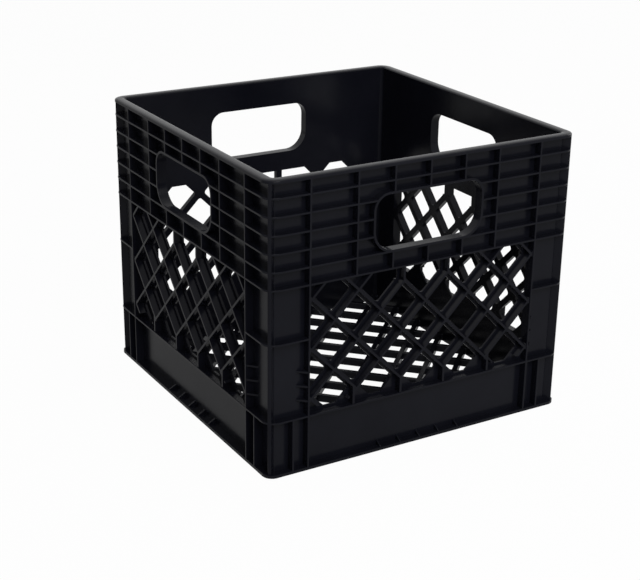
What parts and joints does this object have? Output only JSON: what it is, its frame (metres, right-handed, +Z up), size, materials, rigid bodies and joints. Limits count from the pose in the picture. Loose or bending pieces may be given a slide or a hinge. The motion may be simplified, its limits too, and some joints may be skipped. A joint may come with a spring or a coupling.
{
  "type": "milk bottle crate",
  "caption": "Square open-topped dairy crate with ribbed walls, a hand hole and a diamond lattice in each wall, ribbed corner posts and a diagonal grid floor.",
  "frame": {"origin": "centre of the underside, on the surface that the crate stands on", "axes": "+Z up, +X and +Y square to two of the walls; the front wall faces -Y"},
  "size_m": [0.3302, 0.3302, 0.2794],
  "materials": {
    "crate_plastic": "black, semi-gloss, as moulded"
  },
  "bodies": {
    "root": {"rim_front": "crate_plastic", "rim_right": "crate_plastic", "rim_back": "crate_plastic", "rim_left": "crate_plastic", "band_front_top": "crate_plastic", "band_front_bottom": "crate_plastic", "band_front_left": "crate_plastic", "band_front_right": "crate_plastic", "band_right_top": "crate_plastic", "band_right_bottom": "crate_plastic", "band_right_left": "crate_plastic", "band_right_right": "crate_plastic", "band_back_top": "crate_plastic", "band_back_bottom": "crate_plastic", "band_back_left": "crate_plastic", "band_back_right": "crate_plastic", "band_left_top": "crate_plastic", "band_left_bottom": "crate_plastic", "band_left_left": "crate_plastic", "band_left_right": "crate_plastic", "hand_hole_front": "crate_plastic", "hand_hole_right": "crate_plastic", "hand_hole_back": "crate_plastic", "hand_hole_left": "crate_plastic", "lattice_front": "crate_plastic", "lattice_right": "crate_plastic", "lattice_back": "crate_plastic", "lattice_left": "crate_plastic", "skirt_front": "crate_plastic", "skirt_right": "crate_plastic", "skirt_back": "crate_plastic", "skirt_left": "crate_plastic", "foot_rail_front": "crate_plastic", "foot_rail_right": "crate_plastic", "foot_rail_back": "crate_plastic", "foot_rail_left": "crate_plastic", "corner_post_front_right": "crate_plastic", "corner_post_back_right": "crate_plastic", "corner_post_back_left": "crate_plastic", "corner_post_front_left": "crate_plastic", "floor_grid": "crate_plastic"}
  },
  "joints": []
}
